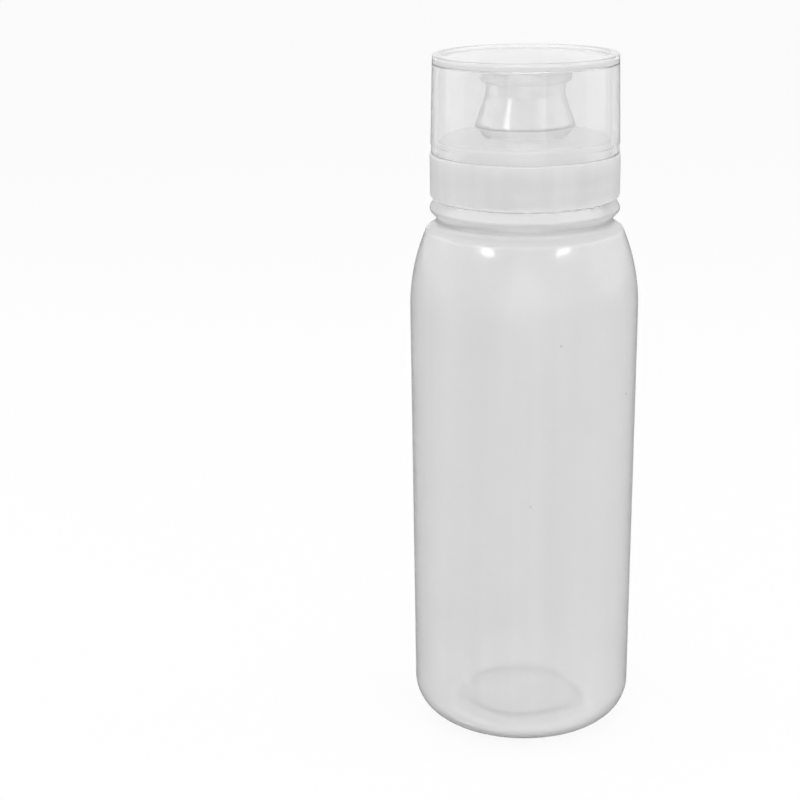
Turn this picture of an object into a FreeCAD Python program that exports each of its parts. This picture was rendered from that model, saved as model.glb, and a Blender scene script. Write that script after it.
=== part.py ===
import FreeCAD, Part
import math
import os
from collections import namedtuple

import Sketcher

# A condiment squeeze bottle: a soft blow-moulded bottle, a screw cap with its sealing gasket,
# a push-pull spout that slides on the cap's stem, and a clear overcap that covers the spout.
# Millimetres, +Z up. The origin is the centre of the foot ring, on the table.

DRIVING_SIZES = {
    # Bottle body
    "body_radius": 33.1,
    "body_taper": 0.62,
    "body_wall": 1.0,
    "base_corner": 10.0,
    "foot_width": 2.5,
    "foot_round": 0.6,
    "floor_thickness": 1.2,
    "push_up_depth": 3.0,
    "push_up_run": 3.5,
    "push_up_round": 2.0,
    # Bottle shoulder
    "shoulder_height": 138.6,
    "shoulder_rise": 11.6,
    "shoulder_run": 4.9,
    "shoulder_step": 2.85,
    "shoulder_wall": 1.3,
    "shoulder_inner_drop": 0.5,
    "shoulder_edge_round": 1.2,
    # Bottle neck: groove, bead and threaded finish
    "neck_radius": 23.45,
    "neck_height": 9.8,
    "neck_wall": 1.8,
    "neck_round": 0.5,
    "groove_step": 1.9,
    "groove_rise": 1.7,
    "groove_width": 1.8,
    "groove_round": 1.6,
    "bead_depth": 2.11,
    "bead_top_step": 0.35,
    "bead_lower_rise": 2.3,
    "bead_upper_rise": 3.0,
    "bead_round": 1.2,
    "bead_root_round": 0.6,
    # Screw thread, shared by the neck and the cap
    "thread_pitch": 4.2,
    "thread_depth": 1.4,
    "thread_lead": 1.6,
    "thread_flank": 0.65,
    "thread_crest_clearance": 0.55,
    "thread_flank_clearance": 0.35,
    "thread_embed": 0.25,
    # Sealing gasket
    "gasket_thickness": 1.3,
    "gasket_width": 3.3,
    "gasket_clearance": 0.4,
    "gasket_round": 0.25,
    "seat_gap": 0.05,
    # Screw cap: skirt, ledge, collar and deck
    "skirt_wall": 1.65,
    "skirt_gap": 0.4,
    "skirt_round": 0.9,
    "cap_edge_round": 0.3,
    "land_thickness": 1.6,
    "ledge_width": 2.4,
    "collar_height": 4.6,
    "collar_wall": 2.4,
    "cavity_round": 0.8,
    "deck_thickness": 1.8,
    "deck_step_height": 0.65,
    "deck_step_width": 0.95,
    # Screw cap: stem, stop bead and plug
    "stem_radius": 9.6,
    "stem_wall": 1.4,
    "stem_top_gap": 0.4,
    "stop_depth": 1.0,
    "stop_land": 0.5,
    "stop_height": 1.6,
    "stop_gap": 0.2,
    "plug_radius": 3.0,
    "plug_recess": 0.3,
    "plug_round": 0.5,
    "spoke_width": 1.8,
    "spoke_height": 2.4,
    # Push-pull spout
    "spout_travel": 4.5,
    "spout_rest_gap": 0.2,
    "spout_wall": 1.57,
    "running_clearance": 0.08,
    "hem_height": 3.0,
    "hem_thickness": 1.6,
    "hem_step": 0.55,
    "hem_inner_step": 1.6,
    "lip_depth": 3.05,
    "lip_inner_rise": 0.3,
    "lip_round": 0.35,
    "flare_margin": 4.3,
    "waist_height": 3.3,
    "waist_round": 4.0,
    "flange_depth": 1.85,
    "flange_height": 4.1,
    "spout_top_thickness": 1.6,
    "spout_edge_round": 0.4,
    # Overcap
    "overcap_clearance": 0.3,
    "overcap_wall": 1.85,
    "overcap_draft": 0.6,
    "overcap_seat_gap": 0.1,
    "overcap_headroom": 1.2,
    "overcap_plate": 1.7,
    "overcap_lip_height": 2.6,
    "overcap_lip_relief": 0.15,
    "overcap_rim_height": 0.75,
    "overcap_rim_width": 2.6,
    "overcap_edge_round": 0.25,
    "overcap_inner_round": 0.6,
}

HALF_SHARE = 0.5
SHOULDER_ROUND_SHARE = 0.93
COLLAR_ROUND_SHARE = 0.84
FLANGE_ROUND_SHARE = 0.86
SPOKE_BARS = 2
FULL_TURN = 360
HALF_TURN = 180
QUARTER_TURN = 90

Corner = namedtuple("Corner", "radius height round", defaults=[None])


class Length:
    """A length that keeps its expression of the sheet's cells beside its present value."""

    def __init__(self, text, value):
        self.text = text
        self.value = value

    def __add__(self, other):
        return Length(f"({self.text} + {other.text})", self.value + other.value)

    def __sub__(self, other):
        return Length(f"({self.text} - {other.text})", self.value - other.value)

    def __mul__(self, other):
        return Length(f"({self.text} * {other.text})", self.value * other.value)

    def __truediv__(self, other):
        return Length(f"({self.text} / {other.text})", self.value / other.value)

    def share(self, part_share):
        return Length(f"({self.text} * {part_share})", self.value * part_share)


def slope_length(run, rise):
    text = f"sqrt({run.text} * {run.text} + {rise.text} * {rise.text})"
    return Length(text, math.hypot(run.value, rise.value))


def shoulder_round(run, rise):
    """Radius of the round that turns the upright wall into a shoulder of this run and rise."""
    slope = slope_length(run, rise)
    return (slope * run / (slope - rise)).share(SHOULDER_ROUND_SHARE)


def write_sheet(document):
    """Write the driving sizes into the sheet and return one Length for each."""
    sheet = document.addObject("Spreadsheet::Sheet", "Sizes")
    lengths = {}
    for row, (name, value) in enumerate(DRIVING_SIZES.items(), start=1):
        sheet.set(f"A{row}", name)
        sheet.set(f"B{row}", str(value))
        sheet.setAlias(f"B{row}", name)
        lengths[name] = Length(f"Sizes.{name}", value)
    document.recompute()
    return namedtuple("Sizes", lengths)(**lengths)


def origin_feature(body, role):
    return next(feature for feature in body.Origin.OriginFeatures if feature.Role == role)


def new_body(document, label):
    body = document.addObject("PartDesign::Body", label)
    body.Label = label
    return body


def new_sketch(body, name, plane_role):
    sketch = body.newObject("Sketcher::SketchObject", name)
    sketch.AttachmentSupport = (origin_feature(body, plane_role), [""])
    sketch.MapMode = "FlatFace"
    return sketch


def bind_distance(sketch, kind, geometry, end, length):
    """Hold one end of a sketch element at a distance from the sketch's origin."""
    axis = -2 if kind == "DistanceX" else -1
    if length.value == 0:
        sketch.addConstraint(Sketcher.Constraint("PointOnObject", geometry, end, axis))
        return
    index = sketch.addConstraint(Sketcher.Constraint(kind, -1, 1, geometry, end, length.value))
    sketch.setExpression(f"Constraints[{index}]", length.text)


def bind_place(sketch, geometry, end, corner):
    bind_distance(sketch, "DistanceX", geometry, end, corner.radius)
    bind_distance(sketch, "DistanceY", geometry, end, corner.height)


def corner_arc(before, point, after, radius):
    """Return a rounded corner's start, end and arc, and whether the outline turns left there."""
    inward = (point - before).normalize()
    outward = (after - point).normalize()
    turns_left = inward.cross(outward).z > 0
    run = radius * math.tan(inward.getAngle(outward) * HALF_SHARE)
    start = point - inward * run
    end = point + outward * run
    side = FreeCAD.Vector(-inward.y, inward.x, 0)
    centre = start + (side if turns_left else -side) * radius
    first, last = (start, end) if turns_left else (end, start)
    first_angle = math.atan2(first.y - centre.y, first.x - centre.x)
    last_angle = math.atan2(last.y - centre.y, last.x - centre.x)
    circle = Part.Circle(centre, FreeCAD.Vector(0, 0, 1), radius)
    return start, end, Part.ArcOfCircle(circle, first_angle, last_angle), turns_left


def outline_sketch(body, name, corners):
    """Draw a closed outline of lines, with tangent arcs at its rounded corners."""
    sketch = new_sketch(body, name, "XZ_Plane")
    points = [FreeCAD.Vector(corner.radius.value, corner.height.value, 0) for corner in corners]
    count = len(corners)
    starts, ends, arcs = [], [], {}
    for index, corner in enumerate(corners):
        start = end = points[index]
        if corner.round is not None:
            before, after = points[index - 1], points[(index + 1) % count]
            start, end, arc, turns_left = corner_arc(before, start, after, corner.round.value)
            arcs[index] = (arc, turns_left)
        starts.append(start)
        ends.append(end)

    lines = [Part.LineSegment(ends[index], starts[(index + 1) % count]) for index in range(count)]
    sketch.addGeometry(lines, False)
    for index, corner in enumerate(corners):
        line_before = (index - 1) % count
        if index not in arcs:
            sketch.addConstraint(Sketcher.Constraint("Coincident", line_before, 2, index, 1))
            bind_place(sketch, index, 1, corner)
            continue
        arc, turns_left = arcs[index]
        curve = sketch.addGeometry(arc, False)
        vertex = sketch.addGeometry(Part.Point(points[index]), True)
        entry, leave = (1, 2) if turns_left else (2, 1)
        sketch.addConstraint(Sketcher.Constraint("Tangent", line_before, 2, curve, entry))
        sketch.addConstraint(Sketcher.Constraint("Tangent", curve, leave, index, 1))
        sketch.addConstraint(Sketcher.Constraint("PointOnObject", vertex, 1, line_before))
        sketch.addConstraint(Sketcher.Constraint("PointOnObject", vertex, 1, index))
        bind_place(sketch, vertex, 1, corner)
        radius = sketch.addConstraint(Sketcher.Constraint("Radius", curve, corner.round.value))
        sketch.setExpression(f"Constraints[{radius}]", corner.round.text)
    return sketch


def revolve(body, name, corners):
    """Turn a closed outline about the Z axis."""
    sketch = outline_sketch(body, f"{name}_outline", corners)
    turned = body.newObject("PartDesign::Revolution", name)
    turned.Profile = sketch
    turned.ReferenceAxis = (sketch, ["V_Axis"])
    turned.Angle = FULL_TURN
    return turned


def thread_ridge(body, name, sizes, root_radius, crest_radius, start_height, opposite_side):
    """Sweep one right-hand ridge, wide at its root and narrow at its crest, up a helix."""
    middle = sizes.thread_pitch.share(HALF_SHARE) - sizes.thread_flank_clearance
    root_half = (middle + sizes.thread_flank).share(HALF_SHARE)
    crest_half = (middle - sizes.thread_flank).share(HALF_SHARE)
    outline = [
        Corner(root_radius, start_height - root_half),
        Corner(crest_radius, start_height - crest_half),
        Corner(crest_radius, start_height + crest_half),
        Corner(root_radius, start_height + root_half),
    ]
    sketch = outline_sketch(body, f"{name}_outline", outline)
    if opposite_side:
        turn = FreeCAD.Rotation(FreeCAD.Vector(0, 1, 0), HALF_TURN)
        sketch.AttachmentOffset = FreeCAD.Placement(FreeCAD.Vector(0, 0, 0), turn)
    ridge = body.newObject("PartDesign::AdditiveHelix", name)
    ridge.Profile = sketch
    ridge.ReferenceAxis = (sketch, ["V_Axis"])
    ridge.Mode = "pitch-turns-angle"
    ridge.setExpression("Pitch", sizes.thread_pitch.text)
    two_leads = sizes.thread_lead + sizes.thread_lead
    ridge.setExpression("Turns", ((sizes.neck_height - two_leads) / sizes.thread_pitch).text)
    return ridge


def levels_and_radii(sizes):
    """Work out the heights and radii that neighbouring pieces share."""
    places = {}
    places["zero"] = sizes.body_wall - sizes.body_wall

    # Bottle
    places["shoulder_edge_height"] = sizes.shoulder_height + sizes.shoulder_rise
    places["groove_height"] = places["shoulder_edge_height"] + sizes.groove_rise
    places["bead_bottom"] = places["groove_height"] + sizes.groove_width
    places["bead_nose"] = places["bead_bottom"] + sizes.bead_lower_rise
    places["bead_top"] = places["bead_nose"] + sizes.bead_upper_rise
    places["mouth_height"] = places["bead_top"] + sizes.neck_height
    places["thread_start"] = places["bead_top"] + sizes.thread_lead
    places["neck_bore"] = sizes.neck_radius - sizes.neck_wall
    places["thread_crest"] = sizes.neck_radius + sizes.thread_depth

    # The groove, the shoulder's edge and its run share the room between the neck and the wall
    steps = sizes.groove_step + sizes.shoulder_step + sizes.shoulder_run
    places["step_fit"] = (sizes.body_radius - sizes.neck_radius) / steps
    places["groove_radius"] = sizes.neck_radius + sizes.groove_step * places["step_fit"]

    # Gasket and screw cap
    places["gasket_bottom"] = places["mouth_height"] + sizes.seat_gap
    places["gasket_top"] = places["gasket_bottom"] + sizes.gasket_thickness
    places["skirt_bore"] = places["thread_crest"] + sizes.thread_crest_clearance
    places["skirt_radius"] = places["skirt_bore"] + sizes.skirt_wall
    places["land_height"] = places["gasket_top"] + sizes.seat_gap
    places["ledge_height"] = places["land_height"] + sizes.land_thickness
    places["collar_radius"] = places["skirt_radius"] - sizes.ledge_width
    places["deck_height"] = places["ledge_height"] + sizes.collar_height

    # Spout
    places["spout_bore"] = sizes.stem_radius + sizes.running_clearance
    places["hem_bottom"] = places["deck_height"] + sizes.spout_rest_gap
    places["hem_top"] = places["hem_bottom"] + sizes.hem_thickness
    places["lip_height"] = places["hem_bottom"] + sizes.hem_height
    places["waist_bottom"] = places["lip_height"] + sizes.spout_travel + sizes.flare_margin
    places["flange_bottom"] = places["waist_bottom"] + sizes.waist_height
    places["spout_top"] = places["flange_bottom"] + sizes.flange_height
    places["spout_ceiling"] = places["spout_top"] - sizes.spout_top_thickness
    places["waist_radius"] = places["spout_bore"] + sizes.spout_wall
    places["stem_top"] = places["spout_ceiling"] - sizes.stem_top_gap

    # Overcap
    places["overcap_bottom"] = places["ledge_height"] + sizes.overcap_seat_gap
    places["overcap_ceiling"] = places["spout_top"] + sizes.overcap_headroom
    return namedtuple("Places", places)(**places)


def make_bottle(document, sizes, at):
    """Blow-moulded bottle: foot ring round a push-up, tapered wall, shoulder, bead and threaded neck."""
    base_radius = sizes.body_radius - sizes.body_taper
    foot_inner = base_radius - sizes.base_corner - sizes.foot_width
    push_up_radius = foot_inner - sizes.push_up_run
    push_up_inside = sizes.push_up_depth + sizes.floor_thickness
    shoulder_edge = at.groove_radius + sizes.shoulder_step * at.step_fit
    shoulder_run = sizes.shoulder_run * at.step_fit
    bead_nose_radius = at.groove_radius + sizes.bead_depth * at.step_fit
    bead_top_radius = at.groove_radius + sizes.bead_top_step * at.step_fit
    shoulder_inner_rise = sizes.shoulder_rise - sizes.shoulder_inner_drop
    outside = [
        Corner(at.zero, sizes.push_up_depth),
        Corner(push_up_radius, sizes.push_up_depth, sizes.push_up_round),
        Corner(foot_inner, at.zero, sizes.foot_round),
        Corner(base_radius, at.zero, sizes.base_corner),
        Corner(sizes.body_radius, sizes.shoulder_height,
               shoulder_round(shoulder_run, sizes.shoulder_rise)),
        Corner(shoulder_edge, at.shoulder_edge_height, sizes.shoulder_edge_round),
        Corner(at.groove_radius, at.groove_height, sizes.groove_round),
        Corner(at.groove_radius, at.bead_bottom, sizes.bead_root_round),
        Corner(bead_nose_radius, at.bead_nose, sizes.bead_round),
        Corner(bead_top_radius, at.bead_top),
        Corner(sizes.neck_radius, at.bead_top, sizes.neck_round),
        Corner(sizes.neck_radius, at.mouth_height, sizes.neck_round),
    ]
    inside = [
        Corner(at.neck_bore, at.mouth_height, sizes.neck_round),
        Corner(at.neck_bore, at.bead_nose, sizes.bead_round),
        Corner(at.groove_radius - sizes.shoulder_wall, at.groove_height - sizes.shoulder_inner_drop),
        Corner(shoulder_edge - sizes.body_wall, at.shoulder_edge_height - sizes.shoulder_inner_drop),
        Corner(sizes.body_radius - sizes.body_wall, sizes.shoulder_height,
               shoulder_round(shoulder_run, shoulder_inner_rise)),
        Corner(base_radius - sizes.body_wall, sizes.floor_thickness,
               sizes.base_corner - sizes.body_wall),
        Corner(foot_inner, sizes.floor_thickness, sizes.foot_round),
        Corner(push_up_radius, push_up_inside, sizes.push_up_round),
        Corner(at.zero, push_up_inside),
    ]
    body = new_body(document, "bottle")
    revolve(body, "bottle_wall", outside + inside)
    root = sizes.neck_radius - sizes.thread_embed
    thread_ridge(body, "neck_thread", sizes, root, at.thread_crest, at.thread_start, False)
    return body


def make_gasket(document, sizes, at):
    """Flat sealing ring between the bottle's mouth and the land inside the screw cap."""
    outer = at.skirt_bore - sizes.gasket_clearance
    inner = outer - sizes.gasket_width
    ring = [
        Corner(inner, at.gasket_bottom, sizes.gasket_round),
        Corner(outer, at.gasket_bottom, sizes.gasket_round),
        Corner(outer, at.gasket_top, sizes.gasket_round),
        Corner(inner, at.gasket_top, sizes.gasket_round),
    ]
    body = new_body(document, "sealing_gasket")
    revolve(body, "gasket_ring", ring)
    return body


def make_screw_cap(document, sizes, at):
    """Threaded skirt, ledge and collar for the overcap, deck, and the stem with its plug."""
    skirt_bottom = at.bead_top + sizes.skirt_gap
    deck_edge = at.collar_radius - sizes.deck_step_width
    deck_step = at.deck_height - sizes.deck_step_height
    stop_bottom = at.hem_top + sizes.spout_travel + sizes.stop_gap
    stop_radius = sizes.stem_radius + sizes.stop_depth
    stem_bore = sizes.stem_radius - sizes.stem_wall
    deck_underside = at.deck_height - sizes.deck_thickness
    cavity_radius = at.collar_radius - sizes.collar_wall
    shell = [
        Corner(at.skirt_bore, skirt_bottom, sizes.cap_edge_round),
        Corner(at.skirt_radius, skirt_bottom, sizes.skirt_round),
        Corner(at.skirt_radius, at.ledge_height, sizes.cap_edge_round),
        Corner(at.collar_radius, at.ledge_height, sizes.cap_edge_round),
        Corner(at.collar_radius, deck_step, sizes.deck_step_width.share(COLLAR_ROUND_SHARE)),
        Corner(deck_edge, deck_step),
        Corner(deck_edge, at.deck_height, sizes.cap_edge_round),
        Corner(sizes.stem_radius, at.deck_height),
        Corner(sizes.stem_radius, stop_bottom),
        Corner(stop_radius, stop_bottom),
        Corner(stop_radius, stop_bottom + sizes.stop_land),
        Corner(sizes.stem_radius, stop_bottom + sizes.stop_height),
        Corner(sizes.stem_radius, at.stem_top, sizes.cap_edge_round),
        Corner(stem_bore, at.stem_top, sizes.cap_edge_round),
        Corner(stem_bore, deck_underside, sizes.cap_edge_round),
        Corner(cavity_radius, deck_underside, sizes.cavity_round),
        Corner(cavity_radius, at.land_height, sizes.cap_edge_round),
        Corner(at.skirt_bore, at.land_height, sizes.cap_edge_round),
    ]
    body = new_body(document, "screw_cap")
    revolve(body, "cap_shell", shell)
    root = at.skirt_bore + sizes.thread_embed
    crest = at.skirt_bore - sizes.thread_depth
    thread_ridge(body, "cap_thread", sizes, root, crest, at.thread_start, True)
    add_spokes(body, sizes, at)
    spoke_bottom = at.stem_top - sizes.spoke_height
    plug_top = at.spout_top - sizes.plug_recess
    plug = [
        Corner(at.zero, spoke_bottom),
        Corner(sizes.plug_radius, spoke_bottom),
        Corner(sizes.plug_radius, plug_top, sizes.plug_round),
        Corner(at.zero, plug_top),
    ]
    revolve(body, "plug", plug)
    return body


def add_spokes(body, sizes, at):
    """Crossed bars at the top of the stem, which carry the plug and leave windows between them."""
    reach = sizes.stem_radius - sizes.stem_wall.share(HALF_SHARE)
    half_width = sizes.spoke_width.share(HALF_SHARE)
    sketch = new_sketch(body, "spoke_outline", "XY_Plane")
    sketch.setExpression("AttachmentOffset.Base.z", (at.stem_top - sizes.spoke_height).text)
    sides = [(-reach.value, -half_width.value), (reach.value, -half_width.value),
             (reach.value, half_width.value), (-reach.value, half_width.value)]
    corners = [FreeCAD.Vector(x, y, 0) for x, y in sides]
    lines = [Part.LineSegment(start, end) for start, end in zip(corners, corners[1:] + corners[:1])]
    sketch.addGeometry(lines, False)
    for line in range(len(lines)):
        following = (line + 1) % len(lines)
        sketch.addConstraint(Sketcher.Constraint("Coincident", line, 2, following, 1))
        direction = "Vertical" if line % 2 else "Horizontal"
        sketch.addConstraint(Sketcher.Constraint(direction, line))
    sketch.addConstraint(Sketcher.Constraint("Symmetric", 0, 1, 1, 2, -1, 1))
    bind_distance(sketch, "DistanceX", 1, 2, reach)
    bind_distance(sketch, "DistanceY", 1, 2, half_width)

    bar = body.newObject("PartDesign::Pad", "spoke_bar")
    bar.Profile = sketch
    bar.setExpression("Length", sizes.spoke_height.text)
    cross = body.newObject("PartDesign::PolarPattern", "spoke_cross")
    cross.Originals = [bar]
    cross.Axis = (sketch, ["N_Axis"])
    cross.Angle = QUARTER_TURN
    cross.Occurrences = SPOKE_BARS
    body.Tip = cross


def make_spout(document, sizes, at):
    """Push-pull sleeve: hem that runs on the stem, flared skirt, waist, grip flange and orifice."""
    orifice = sizes.plug_radius + sizes.running_clearance
    lip_radius = at.waist_radius + sizes.lip_depth
    flange_radius = at.waist_radius + sizes.flange_depth
    sleeve = [
        Corner(at.spout_bore, at.hem_bottom),
        Corner(at.waist_radius + sizes.hem_step, at.hem_bottom, sizes.spout_edge_round),
        Corner(lip_radius, at.lip_height, sizes.lip_round),
        Corner(at.waist_radius, at.waist_bottom, sizes.waist_round),
        Corner(at.waist_radius, at.flange_bottom),
        Corner(flange_radius, at.flange_bottom, sizes.flange_depth.share(FLANGE_ROUND_SHARE)),
        Corner(flange_radius, at.spout_top, sizes.spout_edge_round),
        Corner(orifice, at.spout_top, sizes.spout_edge_round),
        Corner(orifice, at.spout_ceiling),
        Corner(at.spout_bore, at.spout_ceiling, sizes.spout_edge_round),
        Corner(at.spout_bore, at.waist_bottom, sizes.waist_round),
        Corner(lip_radius - sizes.spout_wall, at.lip_height + sizes.lip_inner_rise, sizes.spout_edge_round),
        Corner(at.spout_bore + sizes.hem_inner_step, at.hem_top, sizes.spout_edge_round),
        Corner(at.spout_bore, at.hem_top),
    ]
    body = new_body(document, "push_pull_spout")
    revolve(body, "spout_sleeve", sleeve)
    return body


def make_overcap(document, sizes, at):
    """Clear drawn-in cover: plain wall with a relieved lip, flat plate and a raised rim on top."""
    inner_bottom = at.collar_radius + sizes.overcap_clearance
    outer_bottom = inner_bottom + sizes.overcap_wall
    inner_top = inner_bottom - sizes.overcap_draft
    outer_top = outer_bottom - sizes.overcap_draft
    lip_radius = outer_bottom - sizes.overcap_lip_relief
    lip_top = at.overcap_bottom + sizes.overcap_lip_height
    plate_top = at.overcap_ceiling + sizes.overcap_plate
    rim_top = plate_top + sizes.overcap_rim_height
    recess_radius = outer_top - sizes.overcap_rim_width
    cover = [
        Corner(inner_bottom, at.overcap_bottom, sizes.overcap_edge_round),
        Corner(lip_radius, at.overcap_bottom, sizes.overcap_edge_round),
        Corner(lip_radius, lip_top),
        Corner(outer_bottom, lip_top + sizes.overcap_lip_relief),
        Corner(outer_top, rim_top, sizes.overcap_edge_round),
        Corner(recess_radius, rim_top, sizes.overcap_edge_round),
        Corner(recess_radius, plate_top, sizes.overcap_edge_round),
        Corner(at.zero, plate_top),
        Corner(at.zero, at.overcap_ceiling),
        Corner(inner_top, at.overcap_ceiling, sizes.overcap_inner_round),
    ]
    body = new_body(document, "overcap")
    revolve(body, "overcap_shell", cover)
    return body


def check_document(document, bodies):
    """Stop before anything is written if an object failed or a piece isn't one valid solid."""
    for item in document.Objects:
        if "Invalid" in item.State or "Error" in item.State:
            raise RuntimeError(f"{item.Label} failed: {item.State}")
    for body in bodies:
        shape = body.Shape
        if shape.isNull() or not shape.isValid() or len(shape.Solids) != 1:
            raise RuntimeError(f"{body.Label} isn't one valid solid")


def main():
    document = FreeCAD.newDocument("SqueezeBottle")
    sizes = write_sheet(document)
    at = levels_and_radii(sizes)
    makers = [make_bottle, make_gasket, make_screw_cap, make_spout, make_overcap]
    bodies = [make(document, sizes, at) for make in makers]
    document.recompute()
    check_document(document, bodies)
    os.makedirs("parts", exist_ok=True)
    for body in bodies:
        body.Shape.exportStep(f"parts/{body.Label}.step")
        print(f"{body.Label}: {body.Shape.Volume:.1f} mm3, box {body.Shape.BoundBox}")


main()
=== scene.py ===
import math
from collections import namedtuple

import bmesh
import bpy
from mathutils import Matrix, Vector


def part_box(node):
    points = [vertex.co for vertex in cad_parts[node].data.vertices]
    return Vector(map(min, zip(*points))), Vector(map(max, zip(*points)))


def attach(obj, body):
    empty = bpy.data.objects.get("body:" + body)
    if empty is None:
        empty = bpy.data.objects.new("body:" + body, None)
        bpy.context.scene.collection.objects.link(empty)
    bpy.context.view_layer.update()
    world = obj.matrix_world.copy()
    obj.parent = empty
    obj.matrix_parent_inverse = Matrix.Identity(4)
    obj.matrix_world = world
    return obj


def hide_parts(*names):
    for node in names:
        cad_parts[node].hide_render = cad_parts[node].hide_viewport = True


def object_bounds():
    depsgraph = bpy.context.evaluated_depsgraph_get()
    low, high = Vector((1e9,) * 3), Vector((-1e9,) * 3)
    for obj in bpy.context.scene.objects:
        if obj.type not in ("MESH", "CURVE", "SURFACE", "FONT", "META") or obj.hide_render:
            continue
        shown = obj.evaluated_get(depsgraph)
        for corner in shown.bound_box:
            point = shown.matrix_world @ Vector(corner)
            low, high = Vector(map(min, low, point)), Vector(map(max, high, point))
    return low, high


# A translucent condiment squeeze bottle with a screw cap, a push-pull spout and a clear overcap.
# Metres, +Z up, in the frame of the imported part. Every moulding is an outline spun about the Z axis.

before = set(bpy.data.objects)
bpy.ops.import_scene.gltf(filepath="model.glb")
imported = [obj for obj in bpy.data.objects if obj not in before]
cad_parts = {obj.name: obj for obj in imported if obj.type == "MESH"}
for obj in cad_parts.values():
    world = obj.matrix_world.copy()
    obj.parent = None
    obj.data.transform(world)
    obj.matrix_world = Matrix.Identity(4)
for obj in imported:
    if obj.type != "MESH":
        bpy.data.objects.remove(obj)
cad_low, cad_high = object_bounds()

MM = 0.001
TURN_STEPS = 144
ARC_STEP = math.radians(9)
ARC_CHORD = 1.2 * MM
SHARP_ANGLE = math.radians(35)
WELD = 0.002 * MM

Corner = namedtuple("Corner", "radius height round", defaults=[0])
Softbox = namedtuple("Softbox", "name azimuth elevation width height power mirrored")

# Heights and radii that the frame gives
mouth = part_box("bottle")[1].z
gasket_low, gasket_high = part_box("sealing_gasket")
cap_low, cap_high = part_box("screw_cap")
spout_low, spout_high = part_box("push_pull_spout")
over_low, over_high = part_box("overcap")

# Bottle
BODY_RADIUS = 33.1 * MM
BASE_RADIUS = 32.48 * MM
BODY_WALL = 1.0 * MM
BASE_CORNER = 10.0 * MM
FOOT_INNER = 19.98 * MM
FOOT_ROUND = 0.6 * MM
FLOOR_THICKNESS = 1.2 * MM
PUSH_UP_RADIUS = 16.48 * MM
PUSH_UP_DEPTH = 3.0 * MM
PUSH_UP_ROUND = 2.0 * MM
SHOULDER_HEIGHT = 138.6 * MM
SHOULDER_EDGE_RADIUS = 28.2 * MM
SHOULDER_EDGE_HEIGHT = 150.2 * MM
SHOULDER_ROUND = 57.8 * MM
SHOULDER_INNER_ROUND = 53.5 * MM
SHOULDER_EDGE_ROUND = 1.2 * MM
SHOULDER_WALL = 1.3 * MM
SHOULDER_INNER_DROP = 0.5 * MM
GROOVE_RADIUS = 25.35 * MM
GROOVE_HEIGHT = 151.9 * MM
GROOVE_ROUND = 1.6 * MM
BEAD_BOTTOM = 153.7 * MM
BEAD_ROOT_ROUND = 0.6 * MM
BEAD_NOSE_RADIUS = 27.46 * MM
BEAD_NOSE_HEIGHT = 156.0 * MM
BEAD_ROUND = 1.2 * MM
BEAD_TOP_RADIUS = 25.7 * MM
BEAD_TOP = 159.0 * MM
NECK_RADIUS = 23.45 * MM
NECK_WALL = 1.8 * MM
NECK_ROUND = 0.5 * MM

# Screw thread on the neck and in the cap
THREAD_PITCH = 4.2 * MM
THREAD_DEPTH = 1.4 * MM
THREAD_START = 160.6 * MM
THREAD_TURNS = 1.571
THREAD_ROOT_WIDTH = 2.4 * MM
THREAD_CREST_WIDTH = 1.1 * MM
THREAD_EMBED = 0.25 * MM

# Sealing gasket
GASKET_WIDTH = 3.3 * MM
GASKET_ROUND = 0.25 * MM

# Screw cap
SKIRT_WALL = 1.65 * MM
SKIRT_ROUND = 0.9 * MM
EDGE_ROUND = 0.3 * MM
LEDGE_HEIGHT = 171.8 * MM
LAND_THICKNESS = 1.6 * MM
LEDGE_WIDTH = 2.4 * MM
COLLAR_WALL = 2.4 * MM
COLLAR_ROUND = 0.8 * MM
CAVITY_ROUND = 0.8 * MM
DECK_HEIGHT = 176.4 * MM
DECK_THICKNESS = 1.8 * MM
DECK_STEP_HEIGHT = 0.65 * MM
DECK_STEP_WIDTH = 0.95 * MM
STEM_RADIUS = 9.6 * MM
STEM_WALL = 1.4 * MM
STEM_TOP = 193.8 * MM
STOP_BOTTOM = 182.9 * MM
STOP_DEPTH = 1.0 * MM
STOP_LAND = 0.5 * MM
STOP_HEIGHT = 1.6 * MM
PLUG_RADIUS = 3.0 * MM
PLUG_ROUND = 0.5 * MM
SPOKE_WIDTH = 1.8 * MM
SPOKE_HEIGHT = 2.4 * MM

# Push-pull spout
SPOUT_BORE = 9.68 * MM
HEM_RADIUS = 11.8 * MM
HEM_THICKNESS = 1.6 * MM
HEM_INNER_STEP = 1.6 * MM
LIP_RADIUS = 14.3 * MM
LIP_HEIGHT = 179.6 * MM
LIP_ROUND = 0.35 * MM
LIP_WALL = 1.57 * MM
LIP_INNER_RISE = 0.3 * MM
WAIST_RADIUS = 11.25 * MM
WAIST_BOTTOM = 188.4 * MM
WAIST_ROUND = 4.0 * MM
FLANGE_RADIUS = 13.1 * MM
FLANGE_BOTTOM = 191.7 * MM
FLANGE_ROUND = 1.59 * MM
SPOUT_TOP_THICKNESS = 1.6 * MM
SPOUT_EDGE_ROUND = 0.4 * MM
ORIFICE_RADIUS = 3.08 * MM

# Overcap
OVERCAP_WALL = 1.85 * MM
OVERCAP_DRAFT = 0.6 * MM
OVERCAP_LIP_HEIGHT = 2.6 * MM
OVERCAP_LIP_RELIEF = 0.15 * MM
OVERCAP_RIM_WIDTH = 2.6 * MM
OVERCAP_RIM_HEIGHT = 0.75 * MM
OVERCAP_PLATE = 1.7 * MM
OVERCAP_EDGE_ROUND = 0.25 * MM
OVERCAP_INNER_ROUND = 0.6 * MM

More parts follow.
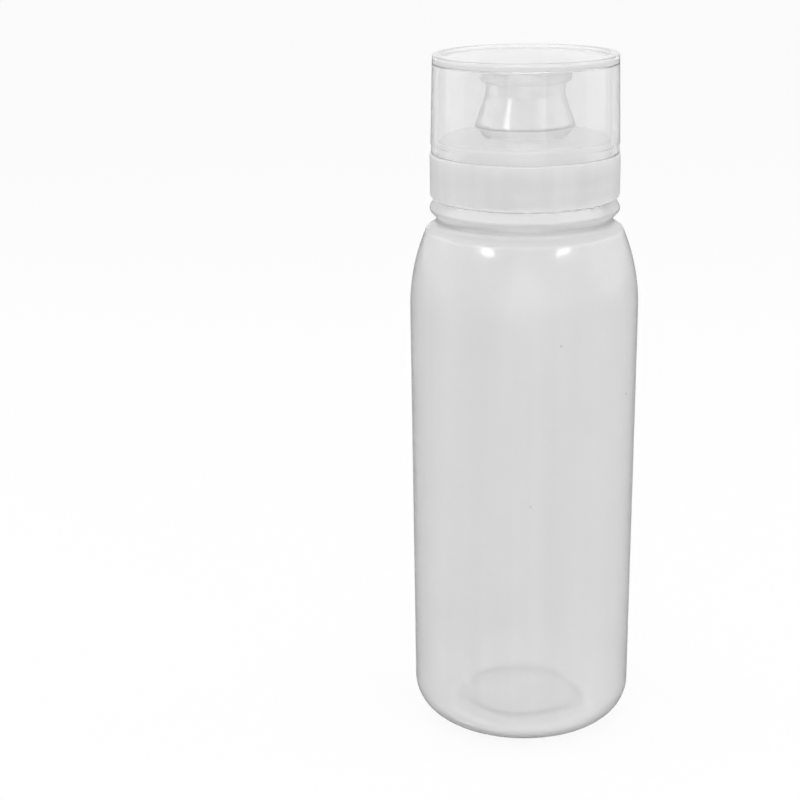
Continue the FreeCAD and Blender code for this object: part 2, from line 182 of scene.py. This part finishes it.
# Plastics: how they bend light, how deep they scatter it and how much of it they pass
POLYETHYLENE_IOR = 1.51
POLYPROPYLENE_IOR = 1.49
SILICONE_IOR = 1.41
SCATTER_DEPTH = 2 * MM
BOTTLE_CLEARNESS = 0.7
CAP_CLEARNESS = 0.4
SPOUT_CLEARNESS = 0.8
OVERCAP_WALL_CLEARNESS = 0.92
OVERCAP_PLATE_CLEARNESS = 0.68
OVERCAP_ABSORPTION = 2.8
GASKET_CLEARNESS = 0.3
BOTTLE_LAMP_SHARE = 0.7

# Relief of their surfaces
BOTTLE_WAVES = 0.07 * MM
BOTTLE_STREAKS = 0.03 * MM
BOTTLE_GRAIN = 0.004 * MM
CAP_MARKS = 0.012 * MM
CAP_GRAIN = 0.002 * MM
SPOUT_WAVES = 0.02 * MM
OVERCAP_MARKS = 0.006 * MM
GASKET_GRAIN = 0.01 * MM

# Camera, fitted to the bottle's outline in the photograph
CAMERA_DISTANCE = 504.5 * MM
CAMERA_HEIGHT = 253.75 * MM
CAMERA_PAN = 0.0722
CAMERA_PITCH = 0.2991
CAMERA_ROLL = -0.0135
FOCAL_PIXELS = 1779.7
PICTURE_PIXELS = 800
SENSOR_WIDTH = 36
CLIP_NEAR = 0.01
CLIP_FAR = 20

# Stage
FLOOR_SIZE = 3
FLOOR_MIRRORED_TONE = 0.35
FLOOR_SHOWN_GLOW = 0.85
STUDIO_LEVEL = 0.66

# Lamps: degrees round from the front and up from level, sizes in metres, power in watts.
# A mirrored lamp shows in highlights and not through walls, and the others the other way round.
LAMP_DISTANCE = 0.9
LAMP_AIM = 0.6 * cad_high.z
SOFTBOXES = [
    Softbox("key_left", -42, 29, 0.22, 0.035, 0.3, True),
    Softbox("key_right", 46, 29, 0.26, 0.035, 0.38, True),
    Softbox("fill_front", 2, 8, 0.8, 0.5, 1.8, False),
    Softbox("fill_left", -100, 15, 0.6, 0.6, 1.3, False),
    Softbox("fill_right", 100, 15, 0.6, 0.6, 1.3, False),
    Softbox("overhead", 0, 88, 0.5, 0.5, 1.8, False),
]


def add_corner(mesh, before, corner, after):
    """Add one corner of an outline, spun as an arc if it is rounded, and return its two ends."""
    place = Vector((corner.radius, 0, corner.height))
    if not corner.round:
        vertex = mesh.verts.new(place)
        return vertex, vertex
    inward = (place - Vector((before.radius, 0, before.height))).normalized()
    outward = (Vector((after.radius, 0, after.height)) - place).normalized()
    turn = inward.angle(outward)
    axis = inward.cross(outward).normalized()
    steps = max(2, math.ceil(turn / ARC_STEP), math.ceil(turn * corner.round / ARC_CHORD))
    first = mesh.verts.new(place - inward * corner.round * math.tan(turn / 2))
    spun = bmesh.ops.spin(
        mesh, geom=[first], cent=first.co + axis.cross(inward) * corner.round, axis=axis,
        angle=turn, steps=steps, use_duplicate=False)
    last = next(item for item in spun["geom_last"] if isinstance(item, bmesh.types.BMVert))
    return first, last


def spin_outline(corners):
    """Draw an outline in the XZ plane, closed unless both its ends lie on the axis, and spin it."""
    drawn = bmesh.new()
    ends = [add_corner(drawn, corners[index - 1], corner, corners[(index + 1) % len(corners)])
            for index, corner in enumerate(corners)]
    for index, (first, last) in enumerate(ends):
        following = ends[(index + 1) % len(ends)][0]
        if last.co.x > WELD or following.co.x > WELD:
            drawn.edges.new((last, following))
    bmesh.ops.spin(
        drawn, geom=drawn.verts[:] + drawn.edges[:], cent=(0, 0, 0), axis=(0, 0, 1),
        angle=math.tau, steps=TURN_STEPS, use_merge=True, use_duplicate=False)
    return drawn


def make_object(name, mesh):
    """Weld a mesh, turn its faces outwards and make it an object."""
    bmesh.ops.remove_doubles(mesh, verts=mesh.verts, dist=WELD)
    bmesh.ops.recalc_face_normals(mesh, faces=mesh.faces)
    data = bpy.data.meshes.new(name)
    mesh.to_mesh(data)
    mesh.free()
    made = bpy.data.objects.new(name, data)
    bpy.context.scene.collection.objects.link(made)
    return made


def fuse(shells):
    """Join closed shells into one, with no faces left inside the walls."""
    joined, *others = [make_object("shell", shell) for shell in shells]
    for other in others:
        union = joined.modifiers.new("union", "BOOLEAN")
        union.operation = "UNION"
        union.solver = "EXACT"
        union.object = other
    graph = bpy.context.evaluated_depsgraph_get()
    fused = bpy.data.meshes.new_from_object(joined.evaluated_get(graph))
    mesh = bmesh.new()
    mesh.from_mesh(fused)
    bpy.data.meshes.remove(fused)
    for held in (joined, *others):
        bpy.data.meshes.remove(held.data)
    return mesh


def spin_thread(root_radius, crest_radius, side):
    """Spin one right-hand thread ridge up the axis, from the given side of it."""
    ridge = bmesh.new()
    half_root, half_crest = THREAD_ROOT_WIDTH / 2, THREAD_CREST_WIDTH / 2
    section = [ridge.verts.new((side * radius, 0, THREAD_START + lift)) for radius, lift in (
        (root_radius, -half_root), (crest_radius, -half_crest),
        (crest_radius, half_crest), (root_radius, half_root))]
    start = ridge.faces.new(section)
    steps = round(TURN_STEPS * THREAD_TURNS)
    bmesh.ops.spin(
        ridge, geom=[start, *start.edges, *start.verts], cent=(0, 0, 0), axis=(0, 0, 1),
        dvec=(0, 0, THREAD_PITCH * THREAD_TURNS / steps), angle=math.tau * THREAD_TURNS,
        steps=steps, use_duplicate=False)
    return ridge


def make_bar(length, width, low, high, turn):
    """Make one bar across the axis, turned about it."""
    bar = bmesh.new()
    bmesh.ops.create_cube(bar, size=1)
    bmesh.ops.scale(bar, vec=(length, width, high - low), verts=bar.verts)
    bmesh.ops.translate(bar, vec=(0, 0, (low + high) / 2), verts=bar.verts)
    bmesh.ops.rotate(bar, cent=(0, 0, 0), matrix=Matrix.Rotation(turn, 3, "Z"), verts=bar.verts)
    return bar


def finish_piece(name, shells, material, node, body):
    """Make a smooth shaded object of the shells and put it in the CAD node's place."""
    mesh = fuse(shells)
    for face in mesh.faces:
        face.smooth = True
    for edge in mesh.edges:
        edge.smooth = edge.calc_face_angle(0) < SHARP_ANGLE
    piece = make_object(name, mesh)
    piece.data.materials.append(material)
    weighted = piece.modifiers.new("even_walls", "WEIGHTED_NORMAL")
    weighted.keep_sharp = True
    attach(piece, body)
    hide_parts(node)
    return piece


def make_bottle(material):
    """Blow-moulded bottle: foot ring round a push-up, tapered wall, shoulder, bead and threaded neck."""
    bore = NECK_RADIUS - NECK_WALL
    outside = [
        Corner(0, PUSH_UP_DEPTH),
        Corner(PUSH_UP_RADIUS, PUSH_UP_DEPTH, PUSH_UP_ROUND),
        Corner(FOOT_INNER, 0, FOOT_ROUND),
        Corner(BASE_RADIUS, 0, BASE_CORNER),
        Corner(BODY_RADIUS, SHOULDER_HEIGHT, SHOULDER_ROUND),
        Corner(SHOULDER_EDGE_RADIUS, SHOULDER_EDGE_HEIGHT, SHOULDER_EDGE_ROUND),
        Corner(GROOVE_RADIUS, GROOVE_HEIGHT, GROOVE_ROUND),
        Corner(GROOVE_RADIUS, BEAD_BOTTOM, BEAD_ROOT_ROUND),
        Corner(BEAD_NOSE_RADIUS, BEAD_NOSE_HEIGHT, BEAD_ROUND),
        Corner(BEAD_TOP_RADIUS, BEAD_TOP),
        Corner(NECK_RADIUS, BEAD_TOP, NECK_ROUND),
        Corner(NECK_RADIUS, mouth, NECK_ROUND),
    ]
    inside = [
        Corner(bore, mouth, NECK_ROUND),
        Corner(bore, BEAD_NOSE_HEIGHT, BEAD_ROUND),
        Corner(GROOVE_RADIUS - SHOULDER_WALL, GROOVE_HEIGHT - SHOULDER_INNER_DROP),
        Corner(SHOULDER_EDGE_RADIUS - BODY_WALL, SHOULDER_EDGE_HEIGHT - SHOULDER_INNER_DROP),
        Corner(BODY_RADIUS - BODY_WALL, SHOULDER_HEIGHT, SHOULDER_INNER_ROUND),
        Corner(BASE_RADIUS - BODY_WALL, FLOOR_THICKNESS, BASE_CORNER - BODY_WALL),
        Corner(FOOT_INNER, FLOOR_THICKNESS, FOOT_ROUND),
        Corner(PUSH_UP_RADIUS, PUSH_UP_DEPTH + FLOOR_THICKNESS, PUSH_UP_ROUND),
        Corner(0, PUSH_UP_DEPTH + FLOOR_THICKNESS),
    ]
    shells = [
        spin_outline(outside + inside),
        spin_thread(NECK_RADIUS - THREAD_EMBED, NECK_RADIUS + THREAD_DEPTH, 1),
    ]
    return finish_piece("bottle_blown", shells, material, "bottle", "bottle")


def make_gasket(material):
    """Flat sealing ring on the bottle's mouth."""
    outer = gasket_high.x
    inner = outer - GASKET_WIDTH
    ring = [
        Corner(inner, gasket_low.z, GASKET_ROUND),
        Corner(outer, gasket_low.z, GASKET_ROUND),
        Corner(outer, gasket_high.z, GASKET_ROUND),
        Corner(inner, gasket_high.z, GASKET_ROUND),
    ]
    return finish_piece(
        "gasket_ring", [spin_outline(ring)], material, "sealing_gasket", "gasket")


def make_screw_cap(material):
    """Threaded skirt, ledge and collar for the overcap, deck, and the stem with its plug."""
    skirt = cap_high.x
    bore = skirt - SKIRT_WALL
    land = LEDGE_HEIGHT - LAND_THICKNESS
    collar = skirt - LEDGE_WIDTH
    cavity = collar - COLLAR_WALL
    deck_step = DECK_HEIGHT - DECK_STEP_HEIGHT
    deck_edge = collar - DECK_STEP_WIDTH
    underside = DECK_HEIGHT - DECK_THICKNESS
    stem_bore = STEM_RADIUS - STEM_WALL
    stop_radius = STEM_RADIUS + STOP_DEPTH
    shell = [
        Corner(bore, cap_low.z, EDGE_ROUND),
        Corner(skirt, cap_low.z, SKIRT_ROUND),
        Corner(skirt, LEDGE_HEIGHT, EDGE_ROUND),
        Corner(collar, LEDGE_HEIGHT, EDGE_ROUND),
        Corner(collar, deck_step, COLLAR_ROUND),
        Corner(deck_edge, deck_step),
        Corner(deck_edge, DECK_HEIGHT, EDGE_ROUND),
        Corner(STEM_RADIUS, DECK_HEIGHT),
        Corner(STEM_RADIUS, STOP_BOTTOM),
        Corner(stop_radius, STOP_BOTTOM),
        Corner(stop_radius, STOP_BOTTOM + STOP_LAND),
        Corner(STEM_RADIUS, STOP_BOTTOM + STOP_HEIGHT),
        Corner(STEM_RADIUS, STEM_TOP, EDGE_ROUND),
        Corner(stem_bore, STEM_TOP, EDGE_ROUND),
        Corner(stem_bore, underside, EDGE_ROUND),
        Corner(cavity, underside, CAVITY_ROUND),
        Corner(cavity, land, EDGE_ROUND),
        Corner(bore, land, EDGE_ROUND),
    ]
    spoke_bottom = STEM_TOP - SPOKE_HEIGHT
    plug = [
        Corner(0, spoke_bottom),
        Corner(PLUG_RADIUS, spoke_bottom),
        Corner(PLUG_RADIUS, cap_high.z, PLUG_ROUND),
        Corner(0, cap_high.z),
    ]
    spoke_length = 2 * STEM_RADIUS - STEM_WALL
    shells = [
        spin_outline(shell),
        spin_thread(bore + THREAD_EMBED, bore - THREAD_DEPTH, -1),
        make_bar(spoke_length, SPOKE_WIDTH, spoke_bottom, STEM_TOP, 0),
        make_bar(spoke_length, SPOKE_WIDTH, spoke_bottom, STEM_TOP, math.pi / 2),
        spin_outline(plug),
    ]
    return finish_piece("cap_moulding", shells, material, "screw_cap", "screw_cap")


def make_spout(material):
    """Push-pull sleeve: hem on the stem, flared skirt, waist, grip flange and orifice."""
    ceiling = spout_high.z - SPOUT_TOP_THICKNESS
    hem_top = spout_low.z + HEM_THICKNESS
    sleeve = [
        Corner(SPOUT_BORE, spout_low.z),
        Corner(HEM_RADIUS, spout_low.z, SPOUT_EDGE_ROUND),
        Corner(LIP_RADIUS, LIP_HEIGHT, LIP_ROUND),
        Corner(WAIST_RADIUS, WAIST_BOTTOM, WAIST_ROUND),
        Corner(WAIST_RADIUS, FLANGE_BOTTOM),
        Corner(FLANGE_RADIUS, FLANGE_BOTTOM, FLANGE_ROUND),
        Corner(FLANGE_RADIUS, spout_high.z, SPOUT_EDGE_ROUND),
        Corner(ORIFICE_RADIUS, spout_high.z, SPOUT_EDGE_ROUND),
        Corner(ORIFICE_RADIUS, ceiling),
        Corner(SPOUT_BORE, ceiling, SPOUT_EDGE_ROUND),
        Corner(SPOUT_BORE, WAIST_BOTTOM, WAIST_ROUND),
        Corner(LIP_RADIUS - LIP_WALL, LIP_HEIGHT + LIP_INNER_RISE, SPOUT_EDGE_ROUND),
        Corner(SPOUT_BORE + HEM_INNER_STEP, hem_top, SPOUT_EDGE_ROUND),
        Corner(SPOUT_BORE, hem_top),
    ]
    return finish_piece(
        "spout_sleeve", [spin_outline(sleeve)], material, "push_pull_spout", "spout")


def make_overcap(material):
    """Clear cover: plain wall with a relieved lip, flat plate and a raised rim on top."""
    outer = over_high.x
    inner = outer - OVERCAP_WALL
    lip_top = over_low.z + OVERCAP_LIP_HEIGHT
    lip = outer - OVERCAP_LIP_RELIEF
    outer_top = outer - OVERCAP_DRAFT
    plate_top = over_high.z - OVERCAP_RIM_HEIGHT
    ceiling = plate_top - OVERCAP_PLATE
    recess = outer_top - OVERCAP_RIM_WIDTH
    cover = [
        Corner(0, ceiling),
        Corner(inner - OVERCAP_DRAFT, ceiling, OVERCAP_INNER_ROUND),
        Corner(inner, over_low.z, OVERCAP_EDGE_ROUND),
        Corner(lip, over_low.z, OVERCAP_EDGE_ROUND),
        Corner(lip, lip_top),
        Corner(outer, lip_top + OVERCAP_LIP_RELIEF),
        Corner(outer_top, over_high.z, OVERCAP_EDGE_ROUND),
        Corner(recess, over_high.z, OVERCAP_EDGE_ROUND),
        Corner(recess, plate_top, OVERCAP_EDGE_ROUND),
        Corner(0, plate_top),
    ]
    return finish_piece(
        "overcap_clear", [spin_outline(cover)], material, "overcap", "overcap")


def add_noise(tree, scale, detail=2, stretch=(1, 1, 1)):
    """Add a noise of so many features a metre that stays with the piece, and return its value."""
    place = tree.nodes.new("ShaderNodeTexCoord")
    drawn_out = tree.nodes.new("ShaderNodeMapping")
    drawn_out.inputs["Scale"].default_value = stretch
    noise = tree.nodes.new("ShaderNodeTexNoise")
    noise.inputs["Scale"].default_value = scale
    noise.inputs["Detail"].default_value = detail
    tree.links.new(place.outputs["Object"], drawn_out.inputs["Vector"])
    tree.links.new(drawn_out.outputs["Vector"], noise.inputs["Vector"])
    return noise.outputs["Fac"]


def add_specks(tree, scale, core, edge):
    """Add specks that lie scattered in the plastic, and return a value that is 1 at their cores."""
    place = tree.nodes.new("ShaderNodeTexCoord")
    cells = tree.nodes.new("ShaderNodeTexVoronoi")
    cells.inputs["Scale"].default_value = scale
    tree.links.new(place.outputs["Object"], cells.inputs["Vector"])
    return add_range(tree, cells.outputs["Distance"], 1, 0, core, edge)


def add_range(tree, source, low, high, source_low=0.3, source_high=0.7):
    """Carry a value over to another range."""
    carried = tree.nodes.new("ShaderNodeMapRange")
    carried.inputs["From Min"].default_value = source_low
    carried.inputs["From Max"].default_value = source_high
    carried.inputs["To Min"].default_value = low
    carried.inputs["To Max"].default_value = high
    tree.links.new(source, carried.inputs["Value"])
    return carried.outputs["Result"]


def add_blend(tree, share, first, second):
    """Blend two tones, each a grey level or the outcome of another blend."""
    blend = tree.nodes.new("ShaderNodeMix")
    blend.data_type = "RGBA"
    tree.links.new(share, blend.inputs["Factor"])
    # A mix node has its colour sockets at inputs 6 and 7 and at output 2
    for socket, tone in zip((blend.inputs[6], blend.inputs[7]), (first, second)):
        if isinstance(tone, bpy.types.NodeSocket):
            tree.links.new(tone, socket)
        else:
            socket.default_value = (tone, tone, tone, 1)
    return blend.outputs[2]


def add_rise(tree, low, high):
    """Return a value that rises from 0 to 1 between two heights."""
    place = tree.nodes.new("ShaderNodeTexCoord")
    parts = tree.nodes.new("ShaderNodeSeparateXYZ")
    tree.links.new(place.outputs["Object"], parts.inputs["Vector"])
    return add_range(tree, parts.outputs["Z"], 0, 1, low, high)


def add_wall_without_painted_light(tree):
    """Return a value that is 1 on the body's wall and falls to 0 at the foot and at the neck, where
    painted light pales the tone.
    """
    full = tree.nodes.new("ShaderNodeMath")
    full.operation = "SUBTRACT"
    full.use_clamp = True
    tree.links.new(add_rise(tree, 0, BASE_CORNER), full.inputs[0])
    tree.links.new(add_rise(tree, SHOULDER_EDGE_HEIGHT - BODY_WALL, SHOULDER_EDGE_HEIGHT), full.inputs[1])
    return full.outputs[0]


def add_largest(tree, first, second):
    """Return the larger of two values."""
    larger = tree.nodes.new("ShaderNodeMath")
    larger.operation = "MAXIMUM"
    tree.links.new(first, larger.inputs[0])
    tree.links.new(second, larger.inputs[1])
    return larger.outputs[0]


def add_relief(tree, source, height, below=None):
    """Raise the surface by a value, on top of the relief that it already has."""
    relief = tree.nodes.new("ShaderNodeBump")
    relief.inputs["Strength"].default_value = 1
    relief.inputs["Distance"].default_value = height
    tree.links.new(source, relief.inputs["Height"])
    if below:
        tree.links.new(below, relief.inputs["Normal"])
    return relief.outputs["Normal"]


def plastic(name, transmission, ior, depth=0):
    """Start a plastic that passes light and scatters the rest of it to some depth."""
    material = bpy.data.materials.new(name)
    material.use_nodes = True
    shader = material.node_tree.nodes["Principled BSDF"]
    shader.inputs["Transmission Weight"].default_value = transmission
    shader.inputs["IOR"].default_value = ior
    if depth:
        shader.inputs["Subsurface Weight"].default_value = 1
        shader.inputs["Subsurface Radius"].default_value = (1, 1, 1)
        shader.inputs["Subsurface Scale"].default_value = depth
    return material, material.node_tree, shader


def finish_plastic(tree, shader, tone, roughness, normal):
    """Give a plastic its uneven tone, roughness and relief."""
    tree.links.new(tone, shader.inputs["Base Color"])
    tree.links.new(roughness, shader.inputs["Roughness"])
    tree.links.new(normal, shader.inputs["Normal"])


def pass_lamps(tree, shader, share):
    """Let so much of the lamps' light through each face of a wall, so that its shadow is a light one."""
    path = tree.nodes.new("ShaderNodeLightPath")
    passed = tree.nodes.new("ShaderNodeBsdfTransparent")
    passed.inputs["Color"].default_value = (share, share, share, 1)
    mix = tree.nodes.new("ShaderNodeMixShader")
    tree.links.new(path.outputs["Is Shadow Ray"], mix.inputs[0])
    tree.links.new(shader.outputs[0], mix.inputs[1])
    tree.links.new(passed.outputs[0], mix.inputs[2])
    tree.links.new(mix.outputs[0], tree.nodes["Material Output"].inputs["Surface"])


def blown_plastic():
    """Soft milky polyethylene with upright flow streaks, a cloudy wall and a few specks."""
    material, tree, shader = plastic("blown_milky", BOTTLE_CLEARNESS, POLYETHYLENE_IOR, SCATTER_DEPTH)
    clouds = add_noise(tree, scale=28, detail=3)
    streaks = add_noise(tree, scale=110, stretch=(1, 1, 0.035))
    grain = add_noise(tree, scale=2400)
    cloudy = add_blend(tree, add_range(tree, clouds, 0, 1), 0.88, 0.9)
    streaky = add_blend(tree, add_range(tree, streaks, 0.6, 0), cloudy, 0.82)
    speckled = add_blend(tree, add_specks(tree, scale=60, core=0.012, edge=0.036), streaky, 0.65)
    # Painted light: the foot and the neck get a paler tone than the body, which lifts the shade in the
    # groove under the bead and at the foot
    tone = add_blend(tree, add_wall_without_painted_light(tree), 0.97, speckled)
    rough = add_range(tree, streaks, 0.1, 0.14)
    waves = add_relief(tree, clouds, BOTTLE_WAVES)
    lines = add_relief(tree, streaks, BOTTLE_STREAKS, waves)
    finish_plastic(tree, shader, tone, rough, add_relief(tree, grain, BOTTLE_GRAIN, lines))
    pass_lamps(tree, shader, BOTTLE_LAMP_SHARE)
    return material


def cap_plastic():
    """Milky polypropylene with a fine satin grain and faint upright flow marks."""
    material, tree, shader = plastic("cap_milky", CAP_CLEARNESS, POLYPROPYLENE_IOR, SCATTER_DEPTH)
    clouds = add_noise(tree, scale=60, detail=3)
    marks = add_noise(tree, scale=220, stretch=(1, 1, 0.08))
    grain = add_noise(tree, scale=3000)
    cloudy = add_blend(tree, add_range(tree, clouds, 0, 1), 0.81, 0.835)
    marked = add_blend(tree, add_range(tree, marks, 0.5, 0), cloudy, 0.73)
    # Painted light: the hem of the skirt is paler, which lifts the shade in the crevice above the bead
    hem_painted_light = add_blend(tree, add_rise(tree, cap_low.z, cap_low.z + SKIRT_ROUND), 0.95, marked)
    # Painted light: the ledge is paler, which lifts the shade where the overcap's lip sits on it
    ledge_painted_light = add_blend(tree, add_rise(tree, LEDGE_HEIGHT - EDGE_ROUND, LEDGE_HEIGHT), hem_painted_light, 0.95)
    # Painted light: the collar and deck above the ledge get a paler tone, which offsets how dim they look
    # under the overcap
    tone = add_blend(tree, add_rise(tree, LEDGE_HEIGHT, LEDGE_HEIGHT + EDGE_ROUND), ledge_painted_light, 0.89)
    rough = add_range(tree, clouds, 0.34, 0.4)
    lines = add_relief(tree, marks, CAP_MARKS)
    finish_plastic(tree, shader, tone, rough, add_relief(tree, grain, CAP_GRAIN, lines))
    return material


def spout_plastic():
    """Clearer, smoother plastic of the spout, slightly cloudy."""
    material, tree, shader = plastic("spout_smooth", SPOUT_CLEARNESS, POLYETHYLENE_IOR, SCATTER_DEPTH)
    clouds = add_noise(tree, scale=90, detail=3)
    cloudy = add_blend(tree, add_range(tree, clouds, 0, 1), 0.97, 0.99)
    # Painted light: the spout is paler below its lip, which lifts the shade in the undercut
    tone = add_blend(tree, add_rise(tree, spout_low.z, LIP_HEIGHT), 1, cloudy)
    rough = add_range(tree, clouds, 0.08, 0.12)
    finish_plastic(tree, shader, tone, rough, add_relief(tree, clouds, SPOUT_WAVES))
    return material


def clear_plastic():
    """Clear, faintly hazy cover with soft upright draw marks from the mould and a milkier top plate."""
    material, tree, shader = plastic("cover_clear", OVERCAP_WALL_CLEARNESS, POLYPROPYLENE_IOR)
    haze = add_noise(tree, scale=45, detail=3)
    marks = add_noise(tree, scale=160, stretch=(1, 1, 0.05))
    hazy = add_blend(tree, add_range(tree, haze, 0, 1), 0.89, 0.91)
    plate_top = over_high.z - OVERCAP_RIM_HEIGHT
    plate = add_rise(tree, plate_top - OVERCAP_INNER_ROUND, plate_top)
    tone = add_blend(tree, plate, hazy, 1)
    rough = add_blend(tree, plate, add_range(tree, haze, 0.05, 0.08), 0.1)
    clearness = add_range(tree, plate, OVERCAP_WALL_CLEARNESS, OVERCAP_PLATE_CLEARNESS, 0, 1)
    tree.links.new(clearness, shader.inputs["Transmission Weight"])
    finish_plastic(tree, shader, tone, rough, add_relief(tree, marks, OVERCAP_MARKS))
    depth = tree.nodes.new("ShaderNodeVolumeAbsorption")
    depth.inputs["Color"].default_value = (0, 0, 0, 1)
    depth.inputs["Density"].default_value = OVERCAP_ABSORPTION
    tree.links.new(depth.outputs["Volume"], tree.nodes["Material Output"].inputs["Volume"])
    return material


def silicone():
    """Matt, pale sealing rubber."""
    material, tree, shader = plastic("gasket_silicone", GASKET_CLEARNESS, SILICONE_IOR)
    clouds = add_noise(tree, scale=120, detail=3)
    grain = add_noise(tree, scale=4000)
    tone = add_blend(tree, add_range(tree, clouds, 0, 1), 0.8, 0.86)
    rough = add_range(tree, clouds, 0.4, 0.5)
    finish_plastic(tree, shader, tone, rough, add_relief(tree, grain, GASKET_GRAIN))
    return material


def make_camera():
    """Camera at the photograph's viewpoint."""
    data = bpy.data.cameras.new("camera")
    data.sensor_width = SENSOR_WIDTH
    data.lens = FOCAL_PIXELS / PICTURE_PIXELS * SENSOR_WIDTH
    data.clip_start, data.clip_end = CLIP_NEAR, CLIP_FAR
    camera = bpy.data.objects.new("camera", data)
    bpy.context.scene.collection.objects.link(camera)
    place = Matrix.Translation((0, -CAMERA_DISTANCE, CAMERA_HEIGHT))
    turned = Matrix.Rotation(CAMERA_PAN, 4, "Z") @ Matrix.Rotation(math.pi / 2 - CAMERA_PITCH, 4, "X")
    camera.matrix_world = place @ turned @ Matrix.Rotation(CAMERA_ROLL, 4, "Z")
    bpy.context.scene.camera = camera


def make_floor():
    """Floor that shows as white with a soft shadow, and as grey in what the walls mirror."""
    mesh = bmesh.new()
    bmesh.ops.create_grid(mesh, x_segments=1, y_segments=1, size=FLOOR_SIZE)
    floor = make_object("floor", mesh)
    material = bpy.data.materials.new("floor_white")
    material.use_nodes = True
    tree = material.node_tree
    path = tree.nodes.new("ShaderNodeLightPath")
    matt = tree.nodes["Principled BSDF"]
    tone = add_blend(tree, path.outputs["Is Glossy Ray"], 1, FLOOR_MIRRORED_TONE)
    tree.links.new(tone, matt.inputs["Base Color"])
    glow = tree.nodes.new("ShaderNodeEmission")
    mix = tree.nodes.new("ShaderNodeMixShader")
    shown = add_range(tree, path.outputs["Is Camera Ray"], 0, FLOOR_SHOWN_GLOW, 0, 1)
    tree.links.new(add_largest(tree, shown, path.outputs["Is Transmission Ray"]), mix.inputs[0])
    tree.links.new(matt.outputs[0], mix.inputs[1])
    tree.links.new(glow.outputs[0], mix.inputs[2])
    tree.links.new(mix.outputs[0], tree.nodes["Material Output"].inputs["Surface"])
    floor.data.materials.append(material)


def make_world():
    """Even studio light in front of a white backdrop."""
    world = bpy.data.worlds.new("studio")
    bpy.context.scene.world = world
    world.use_nodes = True
    tree = world.node_tree
    even = tree.nodes["Background"]
    even.inputs["Color"].default_value = (STUDIO_LEVEL, STUDIO_LEVEL, STUDIO_LEVEL, 1)
    white = tree.nodes.new("ShaderNodeBackground")
    white.inputs["Color"].default_value = (1, 1, 1, 1)
    mix = tree.nodes.new("ShaderNodeMixShader")
    path = tree.nodes.new("ShaderNodeLightPath")
    turned = add_largest(tree, path.outputs["Is Glossy Ray"], path.outputs["Is Transmission Ray"])
    tree.links.new(add_largest(tree, path.outputs["Is Camera Ray"], turned), mix.inputs[0])
    tree.links.new(even.outputs[0], mix.inputs[1])
    tree.links.new(white.outputs[0], mix.inputs[2])
    tree.links.new(mix.outputs[0], tree.nodes["World Output"].inputs["Surface"])


def make_softbox(box):
    """Soft lamp that faces the bottle's upper half."""
    data = bpy.data.lights.new(box.name, "AREA")
    data.shape = "RECTANGLE"
    data.size, data.size_y = box.width, box.height
    data.energy = box.power
    lamp = bpy.data.objects.new(box.name, data)
    bpy.context.scene.collection.objects.link(lamp)
    azimuth, elevation = math.radians(box.azimuth), math.radians(box.elevation)
    back = Vector((math.sin(azimuth) * math.cos(elevation),
                   -math.cos(azimuth) * math.cos(elevation), math.sin(elevation)))
    lamp.location = Vector((0, 0, LAMP_AIM)) + back * LAMP_DISTANCE
    lamp.rotation_euler = (-back).to_track_quat("-Z", "Y").to_euler()
    lamp.visible_glossy = box.mirrored
    lamp.visible_transmission = not box.mirrored


bpy.context.scene.view_settings.view_transform = "Standard"
make_bottle(blown_plastic())
make_gasket(silicone())
# These three are translucent and cast no shadow on what they cover
make_screw_cap(cap_plastic()).visible_shadow = False
make_spout(spout_plastic()).visible_shadow = False
make_overcap(clear_plastic()).visible_shadow = False
make_camera()
make_floor()
make_world()
for softbox in SOFTBOXES:
    make_softbox(softbox)
